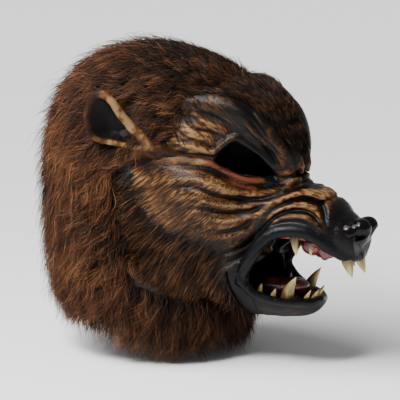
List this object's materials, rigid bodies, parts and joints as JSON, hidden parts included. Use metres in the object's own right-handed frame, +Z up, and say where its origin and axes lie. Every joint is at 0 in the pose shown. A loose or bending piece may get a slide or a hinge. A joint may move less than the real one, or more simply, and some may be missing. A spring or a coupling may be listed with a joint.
{
  "type": "latex wolf mask",
  "caption": "Over-the-head snarling wolf mask: painted latex face with open eyes, a jaw that flexes with the wearer's, resin fangs and a faux fur hood.",
  "frame": {"origin": "middle of the head cavity, where the middle of the wearer's head sits", "axes": "+Z up, -Y forward along the muzzle, +X to the wearer's left"},
  "size_m": [0.259, 0.3901, 0.3208],
  "materials": {
    "face_latex": "cast latex, sponge painted tan over black-brown creases, satin",
    "nose_gloss": "cast latex, gloss black",
    "ear_latex": "cast latex, tan rim and black cup",
    "gum_gloss": "cast latex, wet gloss red",
    "tongue_gloss": "cast latex, dark red gloss",
    "tooth_resin": "cast resin, ivory with ochre stain",
    "fur_brown": "shaggy red-brown acrylic faux fur",
    "fur_dark": "shaggy black-brown acrylic faux fur",
    "foam": "soft open-cell foam",
    "elastic": "woven elastic",
    "hem_tape": "bound cotton tape"
  },
  "bodies": {
    "head": {"face_skin": "face_latex", "nose_pad": "nose_gloss", "right_ear": "ear_latex", "left_ear": "ear_latex", "upper_gum": "gum_gloss", "upper_incisors": "tooth_resin", "upper_right_canine": "tooth_resin", "upper_left_canine": "tooth_resin", "upper_right_premolars": "tooth_resin", "upper_left_premolars": "tooth_resin", "crown_fur": "fur_dark", "nape_fur": "fur_brown", "right_side_fur": "fur_brown", "left_side_fur": "fur_brown", "right_ruff_fur": "fur_brown", "left_ruff_fur": "fur_brown", "throat_fur": "fur_brown", "brow_pad": "foam", "snout_foam": "foam", "head_strap": "elastic", "neck_hem": "hem_tape"},
    "jaw": {"jaw_skin": "face_latex", "lower_gum": "gum_gloss", "tongue": "tongue_gloss", "lower_incisors": "tooth_resin", "lower_right_canine": "tooth_resin", "lower_left_canine": "tooth_resin", "lower_right_premolars": "tooth_resin", "lower_left_premolars": "tooth_resin", "chin_cup": "foam"}
  },
  "joints": [
    {"name": "jaw_hinge", "type": "hinge", "parent": "head", "child": "jaw", "pos_m": [0, -0.1, -0.09], "axis": [-1, 0, 0], "range_deg": [-6, 12], "stiffness_Nm_per_rad": 2, "springref_deg": 1.72}
  ]
}
